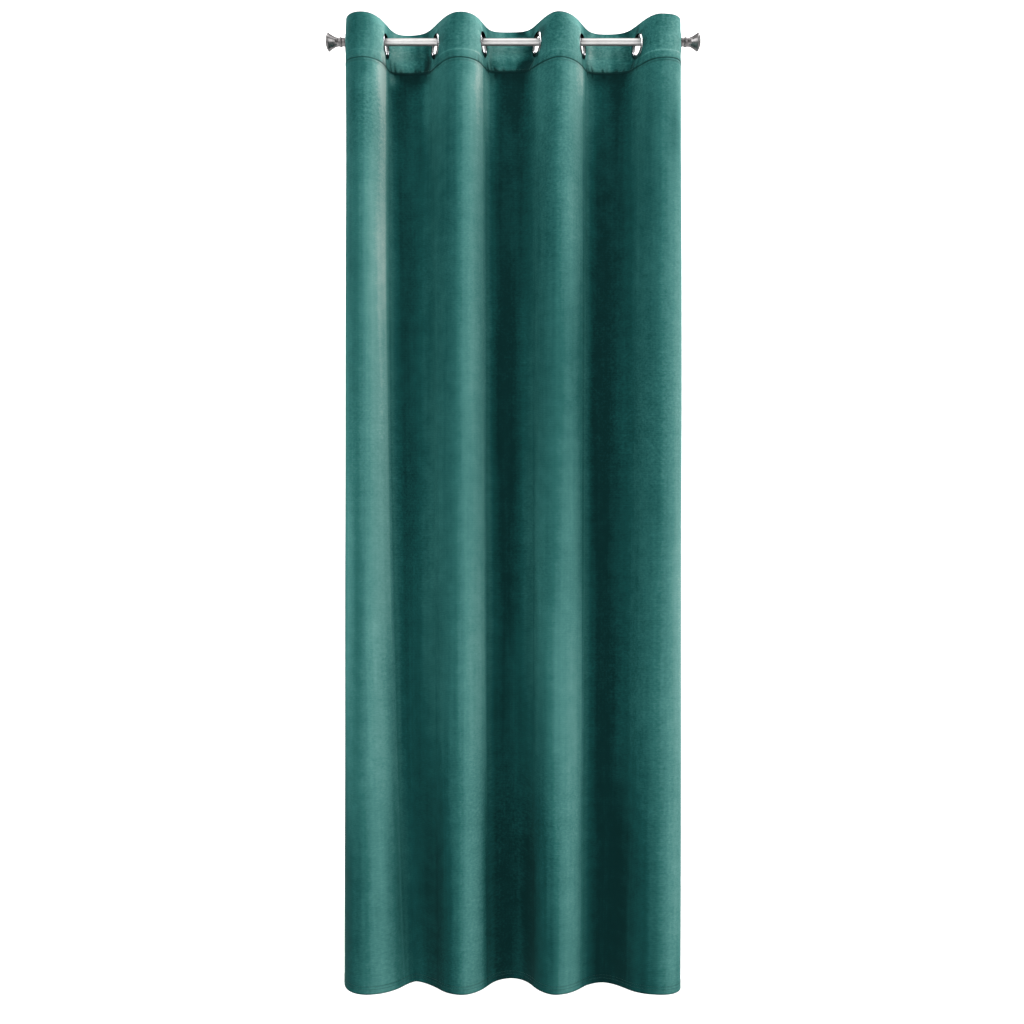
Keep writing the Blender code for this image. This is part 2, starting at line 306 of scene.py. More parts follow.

# Spots painted paler or darker than the tables say, partly where the pile is brushed and partly
# painted light and shade, such as the shadows by the seam: (place among the bends, height, half
# widths along the place and the height, change of tone)
Patch = namedtuple("Patch", "turn z wide tall change")
HEADER_PATCHES = (
    Patch(0.95, 0.000, 0.22, 0.030, -0.08),
    Patch(1.10, 0.032, 0.25, 0.016, -0.07),
    Patch(1.36, -0.056, 0.09, 0.022, 0.32),
    Patch(1.80, 0.045, 0.14, 0.020, 0.20),
    Patch(1.86, -0.010, 0.14, 0.030, 0.34),
    Patch(2.18, -0.012, 0.12, 0.030, 0.07),
    Patch(2.24, -0.042, 0.07, 0.016, -0.20),
    Patch(2.66, -0.006, 0.10, 0.022, -0.12),
    Patch(3.00, 0.034, 0.20, 0.016, -0.05),
    Patch(3.10, -0.052, 0.20, 0.016, 0.05),
    Patch(3.78, -0.012, 0.14, 0.035, 0.20),
    Patch(3.88, -0.046, 0.08, 0.014, -0.16),
    Patch(4.04, -0.002, 0.18, 0.030, 0.22),
    Patch(3.98, 0.044, 0.08, 0.016, 0.12),
    Patch(4.13, -0.052, 0.08, 0.018, -0.38),
    Patch(4.34, -0.052, 0.05, 0.020, -0.22),
    Patch(4.10, 0.042, 0.07, 0.012, -0.28),
    Patch(4.23, 0.040, 0.05, 0.012, 0.34),
    Patch(4.66, 0.006, 0.10, 0.025, -0.24),
    Patch(4.90, -0.050, 0.25, 0.018, 0.10),
    Patch(5.38, 0.000, 0.10, 0.035, 0.12),
    Patch(5.78, -0.012, 0.14, 0.035, 0.20),
    Patch(6.05, -0.045, 0.07, 0.015, -0.06),
    Patch(6.06, -0.003, 0.22, 0.035, 0.16),
    Patch(6.34, -0.050, 0.08, 0.018, -0.18),
    Patch(6.48, 0.028, 0.06, 0.014, -0.22),
    Patch(6.58, -0.012, 0.12, 0.032, -0.34),
    Patch(7.02, -0.050, 0.25, 0.020, 0.12),
    Patch(7.12, -0.010, 0.16, 0.022, 0.10),
)
PANEL_PATCHES = (
    Patch(0.71, -2.25, 0.06, 0.40, -0.22),
    Patch(0.80, -1.45, 0.09, 0.55, 0.24),
    Patch(0.95, -0.16, 0.22, 0.14, -0.09),
    Patch(0.94, -2.25, 0.16, 0.18, -0.08),
    Patch(1.06, -0.09, 0.10, 0.02, -0.12),
    Patch(1.18, -0.24, 0.14, 0.10, -0.10),
    Patch(1.34, -0.10, 0.10, 0.05, 0.35),
    Patch(1.33, -0.55, 0.12, 0.35, 0.17),
    Patch(1.28, -1.10, 0.12, 0.45, 0.07),
    Patch(1.15, -1.70, 0.14, 0.25, 0.07),
    Patch(1.34, -1.75, 0.12, 0.30, -0.16),
    Patch(1.33, -2.30, 0.12, 0.30, -0.15),
    Patch(1.79, -0.085, 0.11, 0.018, 0.42),
    Patch(1.66, -2.22, 0.10, 0.22, -0.08),
    Patch(2.04, -0.085, 0.08, 0.020, -0.10),
    Patch(1.70, -0.50, 0.12, 0.45, 0.08),
    Patch(2.00, -1.72, 0.10, 0.30, 0.10),
    Patch(2.20, -0.15, 0.15, 0.12, 0.18),
    Patch(2.15, -0.80, 0.16, 0.50, 0.09),
    Patch(2.25, -1.60, 0.18, 0.50, 0.10),
    Patch(2.03, -0.38, 0.10, 0.15, 0.07),
    Patch(2.12, -2.42, 0.16, 0.14, 0.10),
    Patch(2.46, -0.14, 0.22, 0.10, 0.08),
    Patch(2.50, -1.20, 0.25, 0.25, 0.07),
    Patch(2.92, -0.50, 0.14, 0.35, -0.07),
    Patch(3.12, -0.09, 0.10, 0.02, -0.12),
    Patch(3.28, -0.10, 0.10, 0.05, 0.08),
    Patch(3.34, -0.85, 0.10, 0.25, -0.10),
    Patch(3.36, -2.10, 0.06, 0.60, -0.10),
    Patch(3.45, -2.34, 0.18, 0.40, -0.30),
    Patch(3.70, -0.13, 0.16, 0.10, 0.28),
    Patch(3.89, -1.00, 0.13, 0.50, -0.15),
    Patch(3.80, -2.30, 0.24, 0.45, -0.22),
    Patch(3.88, -0.09, 0.07, 0.03, 0.10),
    Patch(4.03, -0.10, 0.08, 0.09, -0.18),
    Patch(4.03, -1.70, 0.08, 0.20, 0.08),
    Patch(4.12, -2.40, 0.10, 0.12, 0.08),
    Patch(4.24, -1.35, 0.18, 0.45, 0.13),
    Patch(4.72, -0.18, 0.12, 0.12, 0.12),
    Patch(4.72, -1.40, 0.14, 0.40, 0.10),
    Patch(4.45, -2.25, 0.25, 0.20, -0.04),
    Patch(4.96, -1.72, 0.10, 0.22, 0.10),
    Patch(4.98, -2.28, 0.12, 0.22, -0.10),
    Patch(5.20, -0.82, 0.22, 0.22, -0.13),
    Patch(5.42, -0.10, 0.12, 0.05, 0.27),
    Patch(5.42, -1.10, 0.15, 0.85, -0.22),
    Patch(5.77, -0.14, 0.14, 0.12, 0.16),
    Patch(5.85, -1.05, 0.16, 0.55, -0.17),
    Patch(5.93, -0.15, 0.10, 0.10, 0.09),
    Patch(5.94, -2.20, 0.22, 0.45, -0.18),
    Patch(6.12, -0.09, 0.08, 0.04, -0.18),
    Patch(6.84, -2.25, 0.12, 0.20, -0.05),
    Patch(6.92, -1.75, 0.10, 0.22, 0.07),
    Patch(7.18, -0.09, 0.10, 0.02, -0.10),
    Patch(7.16, -0.24, 0.12, 0.10, -0.18),
    Patch(7.22, -1.30, 0.10, 0.55, 0.12),
    Patch(7.22, -2.42, 0.10, 0.10, -0.10),
)


def between_heights(z, seam, upper, middle, lower, hem):
    """A value that changes softly from one named height to the next."""
    value = mix(seam, upper, smooth((SEAM_Z - z) / (SEAM_Z - UPPER_Z)))
    value = mix(value, middle, smooth((UPPER_Z - z) / (UPPER_Z - MIDDLE_Z)))
    value = mix(value, lower, smooth((MIDDLE_Z - z) / (MIDDLE_Z - LOWER_Z)))
    return mix(value, hem, smooth((LOWER_Z - z) / (LOWER_Z - HEM_TONE_Z)))


def tone_at(turn, z):
    place = (turn / 2) % 1.0
    for low, high in zip(TONES, TONES[1:]):
        if place <= high.place:
            share = smooth((place - low.place) / (high.place - low.place))
            break
    if z >= SEAM_Z:
        return mix(low.header, high.header, share)
    return mix(
        between_heights(z, low.seam, low.upper, low.middle, low.middle, low.hem),
        between_heights(z, high.seam, high.upper, high.middle, high.middle, high.hem),
        share,
    )


def nap(turn, run, z):
    """How pale a point is painted, from 0 to 1: the lie of the pile together with painted light and
    shade.
    """
    tone = tone_at(turn, z)
    for glow in GLOWS:
        if abs(turn - glow.bend) <= 1 and tone > PALE_FROM:
            gain = between_heights(z, *glow[1:])
            tone = PALE_FROM + (tone - PALE_FROM) * gain
    for patch in HEADER_PATCHES if z >= SEAM_Z else PANEL_PATCHES:
        if abs(turn - patch.turn) < 3 * patch.wide:
            near = bell(turn - patch.turn, patch.wide) * bell(z - patch.z, patch.tall)
            tone += patch.change * near
    brushed = noise.noise(Vector((run * 22, z * 3, 0.3)))
    cloud = noise.noise(Vector((run * 8, z * 6, 5.1)))
    tone += 0.035 * brushed + 0.035 * cloud
    if z >= SEAM_Z:
        gathers = noise.noise(Vector((run * 62, z * 7, 9.4)))
        tone += 0.16 * trough_share(turn) * gathers
    return clamp(tone)


# Creases in the header strip where a trough's corner is pinched between an eyelet and the
# seam, dented in and darkened with painted shade: (place among the bends, how deep)
Crease = namedtuple("Crease", "turn depth")
CREASES = (
    Crease(1.77, 1.0),
    Crease(2.21, 1.0),
    Crease(3.82, 0.8),
    Crease(4.12, 0.5),
    Crease(4.27, 1.0),
    Crease(5.77, 0.7),
    Crease(6.12, 0.4),
    Crease(6.33, 0.9),
)
CREASE_WIDTH = 0.022
CREASE_DEPTH = 0.0016
CREASE_REACH = 0.070

# Soft pleats that run out from the eyelets, where the cloth is held by the ring; their raised sides
# carry a painted highlight and their sunken sides painted shade
PINCH_LOBES = 7
PINCH_REACH = 0.011
PINCH_HEIGHT = 0.0007

# The seam, the dent of the hidden cloth edge below it, the folded edge above it, the rows of
# stitches, the dark lines along the foot and the top edge, and the gathers at the seam. The seam,
# the dent, the stitches, the dark lines and the gathers are painted shade, and the folded edge a
# painted highlight.
SEAM_LINE = 0.0018
SEAM_WANDER = 0.0014
SEAM_ECHO = 0.0066
RIDGE_RISE = 0.020
RIDGE_LINE = 0.0022
RIDGE_HEIGHT = 0.0003
HEM_STITCH_RISES = (0.0130, 0.0205)
SEAM_STITCH_RISE = 0.0060
STITCH_LINE = 0.0010
FOOT_LINE = 0.0030
TOP_LINE = 0.0020
PUCKER_REACH = 0.014
PUCKER_HEIGHT = 0.0011

# How far the panel sways out of its plain section
SWAY = 0.0016


def trough_share(turn):
    """1 at the back of a trough and 0 on a front fold."""
    return 0.5 + 0.5 * math.cos(math.pi * turn)


def crease_at(turn, z):
    """How deep a point lies in the header's creases, from 0 to 1."""
    if z < SEAM_Z:
        return 0.0
    fade = 1 - smooth((z - SEAM_Z) / CREASE_REACH)
    return fade * max(crease.depth * bell(turn - crease.turn, CREASE_WIDTH) for crease in CREASES)


def pucker_at(turn, run, z):
    """Small upright gathers on both sides of the seam, strongest in the troughs."""
    reach = PUCKER_REACH if z >= SEAM_Z else 0.5 * PUCKER_REACH
    fade = math.exp(-abs(z - SEAM_Z) / reach)
    ripple = noise.noise(Vector((run * 130, z * 12, 2.7)))
    return ripple * fade * (0.25 + 0.75 * trough_share(turn))


def pinch_at(turn, run, z, ring_runs):
    """Height of the soft pleats round the eyelets, from -1 to 1."""
    if z < SEAM_Z or z > RING_ZONE_TOP + 3 * PINCH_REACH:
        return 0.0
    index = min(int(turn), len(FLANKS) - 1)
    across = run - ring_runs[index]
    up = z - ring_centre_z(FLANKS[index])
    beyond = math.hypot(across, up) - RING_OUTER_RADIUS
    if beyond > 4 * PINCH_REACH:
        return 0.0
    pleat = math.cos(PINCH_LOBES * math.atan2(up, across) + 1.7 * index)
    return pleat * math.exp(-max(0.0, beyond) / PINCH_REACH)


def shade(turn, run, z, pinch):
    """How much painted shade darkens a point, 0 to 1: along the seam and the stitch lines, in the
    creases, gathers and pleats, in the pockets by the seam in the troughs, and along the top and the
    foot.
    """
    trough = trough_share(turn)
    wander = SEAM_WANDER * noise.noise(Vector((run * 24, 0.0, 6.8)))
    pull = 0.86 + 0.25 * noise.noise(Vector((run * 16, 0.0, 3.3)))
    seam = pull * bell(z - SEAM_Z - wander, SEAM_LINE * (1 + 1.3 * trough))
    echo = 0.60 if turn > 6 else 0.42
    seam = max(seam, echo * (1 - trough) ** 2 * bell(z - SEAM_Z + SEAM_ECHO, SEAM_LINE))
    crease = 0.90 * crease_at(turn, z)
    pucker = 0.95 * clamp(-4.6 * pucker_at(turn, run, z) - 0.10)
    hem = max(0.35 * bell(z - HEM_Z - rise, STITCH_LINE) for rise in HEM_STITCH_RISES)
    # Painted shade lines along the folded top edge and the foot
    top = 0.80 * bell(TOP_Z - z, TOP_LINE)
    foot = 0.85 * bell(z - HEM_Z, FOOT_LINE)
    # Painted shadow in the troughs just below the seam, and just above it in the header
    if z < SEAM_Z:
        pocket = 0.66 * trough**4 * bell(z - SEAM_Z + 0.012, 0.018)
    else:
        pocket = 0.45 * trough**3 * bell(z - SEAM_Z, 0.008)
    # Painted shade on the sunken sides of the pleats round the eyelets
    pleat = 0.30 * clamp(-pinch)
    return clamp(max(seam, crease, pucker, hem, top, foot) + pocket + pleat)


def ridge(turn, z):
    """The folded edge inside the header stands out slightly above the seam and carries a faint pale
    line, a painted highlight.
    """
    front = smooth((0.45 - trough_share(turn)) / 0.3)
    strength = 1.0 if 2 < turn < 4 or turn > 6 else 0.4
    return front * strength * bell(z - SEAM_Z - RIDGE_RISE, RIDGE_LINE)


def swell(turn, run, z, pinch):
    """How far the cloth stands out of its plain section, towards the back, in metres."""
    below = smooth((SEAM_Z - z) / 0.15)
    out = SWAY * noise.noise(Vector((run * 14, z * 1.6, 4.2))) * below
    out += CREASE_DEPTH * crease_at(turn, z)
    out += PUCKER_HEIGHT * pucker_at(turn, run, z)
    out -= RIDGE_HEIGHT * ridge(turn, z)
    out -= PINCH_HEIGHT * pinch
    return out


def crush(turn, run, z):
    """How mottled the pile lies at a point, from 0 to 1: most in the header, on the first
    front fold just below it and down the last one."""
    drift = noise.noise(Vector((run * 5, z * 2.4, 8.6)))
    first_fold = bell(turn - 1.1, 0.22) * bell(z + 0.20, 0.10)
    last_fold = bell(turn - 7.0, 0.35)
    soft = 0.22 + 0.6 * drift + 0.42 * bell(z, 0.06)
    return clamp(soft + 0.8 * first_fold + 0.25 * last_fold)


# How far along the cloth's grain each column of points lies, the same at every height
GRAIN_RUNS = {cut: run_lengths(section(SEAM_Z, cut)) for cut in (HEADER_CUT, PANEL_CUT)}


def ring_run_lengths(turn_places, lengths):
    """Where the eyelets' centres lie along a section."""
    runs = []
    for index in range(len(FLANKS)):
        after = next(i for i, place in enumerate(turn_places) if place >= index + 0.5)
        low = turn_places[after - 1]
        share = (index + 0.5 - low) / (turn_places[after] - low)
        runs.append(mix(lengths[after - 1], lengths[after], share))
    return runs


class Row:
    """The cloth's surface at one height: its middle line and its normals, swelled out."""

    def __init__(self, z, cut):
        line = section(z, cut)
        normals = sideways(line)
        self.turns = turns(cut)
        self.lengths = run_lengths(line)
        ring_runs = ring_run_lengths(self.turns, self.lengths)
        places = list(zip(self.turns, self.lengths))
        self.pinches = [pinch_at(turn, run, z, ring_runs) for turn, run in places]
        self.grain = GRAIN_RUNS[cut]
        self.points = []
        for column, point in enumerate(line):
            out = swell(self.turns[column], self.grain[column], z, self.pinches[column])
            self.points.append(point + normals[column] * out)
        self.normals = normals
        self.z = z

    def at(self, run, out):
        """(point, outward direction) at a distance along the row, out from the middle line.

        A negative distance out is towards the room."""
        after = min(max(bisect_left(self.lengths, run), 1), len(self.lengths) - 1)
        low = self.lengths[after - 1]
        share = (run - low) / (self.lengths[after] - low)
        normal = self.normals[after - 1].lerp(self.normals[after], share).normalized()
        point = self.points[after - 1].lerp(self.points[after], share) + normal * out
        outward = normal if out > 0 else -normal
        return Vector((point.x, point.y, self.z)), Vector((outward.x, outward.y, 0.0))


def add_object(name, data):
    thing = bpy.data.objects.new(name, data)
    bpy.context.scene.collection.objects.link(thing)
    return thing


def cloth_sheet(name, heights, cut, thickness_at, keep_cell, materials):
    """A closed sheet of cloth through finely cut sections at the given heights, top first.

    Cells that keep_cell refuses are left open, with an edge all round them."""
    corners = []
    tones = []
    shades = []
    runs = []
    crushes = []
    columns = len(turns(cut))
    for z in heights:
        row = Row(z, cut)
        whole = row.lengths[-1]
        fronts = []
        backs = []
        for column, (turn, run) in enumerate(zip(row.turns, row.lengths)):
            offset = row.normals[column] * thickness_at(run, whole, z) / 2
            front = row.points[column] - offset
            back = row.points[column] + offset
            fronts.append((front.x, front.y, z))
            backs.append((back.x, back.y, z))
            pinch = row.pinches[column]
            grain = row.grain[column]
            # The pile's tone with painted light and shade, plus a painted highlight on the folded
            # edge above the seam and on the pleats' raised sides
            tones.append(nap(turn, grain, z) + 0.14 * ridge(turn, z) + 0.10 * max(0.0, pinch))
            shades.append(shade(turn, grain, z, pinch))
            runs.append(grain)
            crushes.append(crush(turn, grain, z))
        corners += fronts + backs
    rows = len(heights)

    def front_at(row, column):
        return 2 * row * columns + column

    def back_at(row, column):
        return front_at(row, column) + columns

    kept = [
        [keep_cell(corners, front_at, row, column) for column in range(columns - 1)]
        for row in range(rows - 1)
    ]

    def open_at(row, column):
        inside = 0 <= row < rows - 1 and 0 <= column < columns - 1
        return not (inside and kept[row][column])

    faces = []
    slots = []
    for row in range(rows - 1):
        for column in range(columns - 1):
            if not kept[row][column]:
                continue
            cell = ((row, column), (row + 1, column), (row + 1, column + 1), (row, column + 1))
            faces.append([front_at(*corner) for corner in cell])
            faces.append([back_at(*corner) for corner in cell[::-1]])
            slots += [0, 1]
            neighbours = ((row, column - 1), (row + 1, column), (row, column + 1), (row - 1, column))
            for side, neighbour in enumerate(neighbours):
                if open_at(*neighbour):
                    first = cell[side]
                    second = cell[(side + 1) % 4]
                    faces.append(
                        [front_at(*second), front_at(*first), back_at(*first), back_at(*second)]
                    )
                    slots.append(0)
    used = sorted({corner for face in faces for corner in face})
    number = {corner: index for index, corner in enumerate(used)}
    mesh = bpy.data.meshes.new(name)
    mesh.from_pydata(
        [corners[corner] for corner in used],
        [],
        [[number[corner] for corner in face] for face in faces],
    )
    mesh.polygons.foreach_set("material_index", slots)
    spots = []
    for corner in used:
        row, rest = divmod(corner, 2 * columns)
        spots.append(row * columns + rest % columns)
    marks = (("nap", tones), ("shade", shades), ("run", runs), ("crush", crushes))
    for label, values in marks:
        attribute = mesh.attributes.new(label, "FLOAT", "POINT")
        attribute.data.foreach_set("value", [values[spot] for spot in spots])
    for material in materials:
        mesh.materials.append(material)
    mesh.shade_smooth()
    mesh.set_sharp_from_angle(angle=math.radians(50))
    mesh.update()
    return add_object(name, mesh)


THREAD_RADIUS = 0.00024
THREAD_LENGTH = 0.0029
THREAD_PITCH = 0.0040
THREAD_SIDES = 5


def thread_piece(name, stitches, material):
    """Stitches as short spindles of thread, each from (start, end, outward direction)."""
    corners = []
    faces = []
    for start, end, outward in stitches:
        along = (end - start).normalized()
        aside = along.cross(outward).normalized()
        first = len(corners)
        corners += [start, end]
        for share in (0.22, 0.78):
            centre = start.lerp(end, share) + outward * 0.3 * THREAD_RADIUS
            for step in range(THREAD_SIDES):
                angle = 2 * math.pi * step / THREAD_SIDES
                lift = outward * math.cos(angle) + aside * math.sin(angle)
                corners.append(centre + lift * THREAD_RADIUS)
        for step in range(THREAD_SIDES):
            after = (step + 1) % THREAD_SIDES
            near = first + 2 + step
            near_after = first + 2 + after
            far = near + THREAD_SIDES
            far_after = near_after + THREAD_SIDES
            faces.append((first, near, near_after))
            faces.append((near, far, far_after, near_after))
            faces.append((first + 1, far_after, far))
    mesh = bpy.data.meshes.new(name)
    mesh.from_pydata(corners, [], faces)
    mesh.materials.append(material)
    mesh.shade_smooth()
    mesh.update()
    piece = add_object(name, mesh)
    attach(piece, "root")


def stitches_along(z, cut, half_thickness):
    """A row of stitches along the cloth at one height, on its front and on its back."""
    row = Row(z, cut)
    stitches = []
    for out in (-half_thickness, half_thickness):
        start = THREAD_PITCH
        while start + THREAD_LENGTH < row.lengths[-1] - THREAD_PITCH:
            first, outward = row.at(start, out)
            last, _ = row.at(start + THREAD_LENGTH, out)
            stitches.append((first, last, outward))
            start += THREAD_PITCH
    return stitches


def stitches_down(inset, top, foot, cut, half_thickness):
    """Two upright rows of stitches, each an inset away from its side edge."""
    stitches = []
    z = top
    while z - THREAD_LENGTH > foot:
        high = Row(z, cut)
        low = Row(z - THREAD_LENGTH, cut)
        for out in (-half_thickness, half_thickness):
            for from_right in (False, True):
                run_high = high.lengths[-1] - inset if from_right else inset
                run_low = low.lengths[-1] - inset if from_right else inset
                first, outward = high.at(run_high, out)
                last, _ = low.at(run_low, out)
                stitches.append((first, last, outward))
        z -= THREAD_PITCH
    return stitches


def flank_frame(flank):
    lean = math.radians(flank.rod_lean)
    normal = Vector((math.cos(lean), -math.sin(lean), 0.0))
    turn = Vector((0.0, 0.0, 1.0)).rotation_difference(normal).to_matrix().to_4x4()
    place = Vector((flank.x, flank.y, ring_centre_z(flank)))
    return Matrix.Translation(place) @ turn


class Nodes:
    """Short names for adding shader nodes to one material."""

    def __init__(self, name):
        self.material = bpy.data.materials.new(name)
        self.material.use_nodes = True
        self.tree = self.material.node_tree
        self.shader = self.tree.nodes["Principled BSDF"]

    def add(self, kind, settings=(), **inputs):
        node = self.tree.nodes.new(kind)
        for key, value in dict(settings).items():
            setattr(node, key, value)
        for key, value in inputs.items():
            self.set(node, key.replace("_", " "), value)
        return node

    def set(self, node, socket, value):
        target = node.inputs[int(socket)] if socket.isdigit() else node.inputs[socket]
        if isinstance(value, bpy.types.NodeSocket):
            self.tree.links.new(value, target)
        else:
            target.default_value = value

    def mark(self, label):
        """A value that each point of the cloth carries."""
        return self.add("ShaderNodeAttribute", {"attribute_name": label}).outputs["Fac"]

    def cloth(self):
        """The place on the cloth: along its grain, and the height."""
        run = self.mark("run")
        place = self.add("ShaderNodeNewGeometry").outputs["Position"]
        height = self.add("ShaderNodeSeparateXYZ", Vector=place).outputs["Z"]
        return self.add("ShaderNodeCombineXYZ", X=run, Y=height).outputs["Vector"]

    def blend(self, way, share, first, second):
        """Two colours mixed or multiplied."""
        node = self.add("ShaderNodeMix", {"data_type": "RGBA", "blend_type": way})
        self.set(node, "0", share)
        self.set(node, "6", first)
        self.set(node, "7", second)
        return node.outputs[2]

    def textured(self, total, value, strength):
        """A total with a texture added: its distance from 0.5 times a strength."""
        return self.math("MULTIPLY_ADD", self.math("SUBTRACT", value, 0.5), strength, total)

    def math(self, operation, first, second=0.0, third=0.0):
        node = self.add("ShaderNodeMath", {"operation": operation})
        for index, value in enumerate((first, second, third)):
            self.set(node, str(index), value)
        return node.outputs[0]

    def noise(self, vector, scale, detail=2.0, roughness=0.5):
        node = self.add(
            "ShaderNodeTexNoise", Vector=vector, Scale=scale, Detail=detail, Roughness=roughness
        )
        return node.outputs["Fac"]

    def ribs(self, vector, scale, distortion):
        """Level ribs, as a weave has."""
        node = self.add("ShaderNodeTexWave", {"bands_direction": "Y"}, Vector=vector, Scale=scale)
        self.set(node, "Distortion", distortion)
        return node.outputs["Fac"]

    def scaled(self, vector, scale):
        node = self.add("ShaderNodeVectorMath", {"operation": "MULTIPLY"})
        self.set(node, "0", vector)
        self.set(node, "1", scale)
        return node.outputs[0]

    def ramp(self, value, stops):
        node = self.add("ShaderNodeValToRGB")
        elements = node.color_ramp.elements
        while len(elements) < len(stops):
            elements.new(0.5)
        for element, (place, colour) in zip(elements, stops):
            element.position = place
            element.color = (*colour, 1.0)
        self.set(node, "Fac", value)
        return node.outputs["Color"]

    def bump(self, height, strength, distance, normal=None):
        node = self.add("ShaderNodeBump", Height=height, Strength=strength, Distance=distance)
        if normal is not None:
            self.set(node, "Normal", normal)
        return node.outputs["Normal"]


def velvet():
    n = Nodes("velvet")
    cloth = n.cloth()
    weave = n.noise(n.scaled(cloth, (155.0, 620.0, 1.0)), 1.0, 2.0)
    pile = n.noise(cloth, 900.0, 2.0)
    mottle = n.noise(cloth, 26.0, 4.0, 0.6)
    nubs = n.noise(cloth, 135.0, 2.0, 0.6)
    streaks = n.noise(n.scaled(cloth, (95.0, 3.0, 1.0)), 1.0, 2.0)
    weft = n.noise(n.scaled(cloth, (40.0, 270.0, 1.0)), 1.0, 2.0)
    ribs = n.ribs(cloth, 68.0, 1.5)
    crushed = n.mark("crush")
    nub_strength = n.math("MULTIPLY_ADD", crushed, 0.34, 0.07)
    weft_strength = n.math("MULTIPLY_ADD", crushed, 0.10, 0.03)
    weave_strength = n.math("MULTIPLY_ADD", crushed, 0.16, 0.07)
    spread = n.mark("nap")
    for texture, strength in (
        (mottle, 0.18),
        (nubs, nub_strength),
        (streaks, 0.10),
        (weft, weft_strength),
        (ribs, 0.025),
        (weave, weave_strength),
        (pile, 0.07),
    ):
        spread = n.textured(spread, texture, strength)
    # Tones from dark to pale teal: with the painted light and shade in the tone mark, this ramp
    # gives lit and shaded colours of the one velvet
    colour = n.ramp(
        spread,
        (
            (0.00, (0.0010, 0.0180, 0.0180)),
            (0.20, (0.0048, 0.0530, 0.0510)),
            (0.40, (0.0225, 0.1150, 0.1070)),
            (0.60, (0.0680, 0.2150, 0.1980)),
            (0.80, (0.1450, 0.3300, 0.3020)),
            (1.00, (0.3800, 0.5300, 0.4900)),
        ),
    )
    # Painted shade: the shade mark darkens the colour to near black in the seam, stitch lines,
    # creases, pockets, pleats and along the top and foot
    shaded = n.math("MULTIPLY", n.mark("shade"), 0.92)
    colour_with_painted_shade = n.blend("MIX", shaded, colour, (0.0008, 0.0120, 0.0120, 1.0))
    n.set(n.shader, "Base Color", colour_with_painted_shade)
    n.shader.inputs["Roughness"].default_value = 0.9
    n.shader.inputs["Specular IOR Level"].default_value = 0.05
    n.shader.inputs["Sheen Weight"].default_value = 0.12
    n.shader.inputs["Sheen Roughness"].default_value = 0.45
    n.shader.inputs["Sheen Tint"].default_value = (0.20, 0.75, 0.68, 1.0)
    fine = n.bump(weave, 0.35, 0.0006)
    fine = n.bump(nubs, 0.16, 0.0010, fine)
    n.set(n.shader, "Normal", n.bump(pile, 0.25, 0.0004, fine))
    return n.material


def thread():
    """Twisted polyester thread, a little darker than the velvet."""
    n = Nodes("teal_thread")
    place = n.add("ShaderNodeNewGeometry").outputs["Position"]
    twist = n.noise(place, 2600.0, 1.0)
    colour = n.ramp(twist, ((0.3, (0.006, 0.045, 0.043)), (0.7, (0.016, 0.095, 0.090))))
    n.set(n.shader, "Base Color", colour)
    n.shader.inputs["Roughness"].default_value = 0.55
    n.set(n.shader, "Normal", n.bump(twist, 0.3, 0.0001))
    return n.material


def velvet_reverse():
    n = Nodes("velvet_reverse")
    cloth = n.cloth()
    weft = n.ribs(cloth, 160.0, 0.6)
    mottle = n.noise(cloth, 40.0, 4.0, 0.6)
    tone = n.math("MULTIPLY_ADD", weft, 0.25, n.math("MULTIPLY", mottle, 0.8))
    colour = n.ramp(
        tone,
        ((0.2, (0.008, 0.060, 0.057)), (0.9, (0.026, 0.140, 0.131))),
    )
    # The same painted shade, weaker on the back
    shaded = n.math("MULTIPLY", n.mark("shade"), 0.45)
    colour_with_painted_shade = n.blend("MIX", shaded, colour, (0.002, 0.022, 0.021, 1.0))
    n.set(n.shader, "Base Color", colour_with_painted_shade)
    n.shader.inputs["Roughness"].default_value = 0.92
    n.shader.inputs["Specular IOR Level"].default_value = 0.2
    n.shader.inputs["Sheen Weight"].default_value = 0.08
    n.set(n.shader, "Normal", n.bump(weft, 0.3, 0.0004))
    return n.material


def metal(name, base, metallic, roughness, edge, streaks, radius=0.0, painted_light_bands=()):
    """Turned or drawn metal: a colour with faint tool marks and a little wear.

    Edge is the tint of what it mirrors at a glancing angle. Streaks are the tool marks'
    scale and strength. Bands are painted light: (share of the piece's height from its top,
    brightness) pairs that darken the colour there, on a piece of that radius, as painted shade
    and painted reflection that stay put whatever the light."""
    n = Nodes(name)
    place = n.add("ShaderNodeTexCoord").outputs["Object"]
    streak_scale, streak_strength = streaks
    marks = n.noise(n.scaled(place, streak_scale), 1.0, 3.0)
    wear = n.noise(place, 60.0, 4.0, 0.6)
    low = tuple(0.90 * channel for channel in base)
    colour = n.ramp(wear, ((0.35, low), (0.65, base)))
    if painted_light_bands:
        # Painted shade and reflection: the colour darkened by height on the piece
        down = n.add("ShaderNodeSeparateXYZ", Vector=place).outputs["X"]
        share = n.math("MULTIPLY_ADD", down, 0.5 / radius, 0.5)
        painted_light_greys = n.ramp(share, [(spot, (grey, grey, grey)) for spot, grey in painted_light_bands])
        colour = n.blend("MULTIPLY", 1.0, colour, painted_light_greys)
    n.set(n.shader, "Base Color", colour)
    n.shader.inputs["Metallic"].default_value = metallic
    n.shader.inputs["Specular Tint"].default_value = (edge, edge, edge, 1.0)
    rough = n.math("MULTIPLY_ADD", marks, 0.5 * roughness, 0.75 * roughness)
    n.set(n.shader, "Roughness", rough)
    n.set(n.shader, "Normal", n.bump(marks, streak_strength, 0.0003))
    return n.material


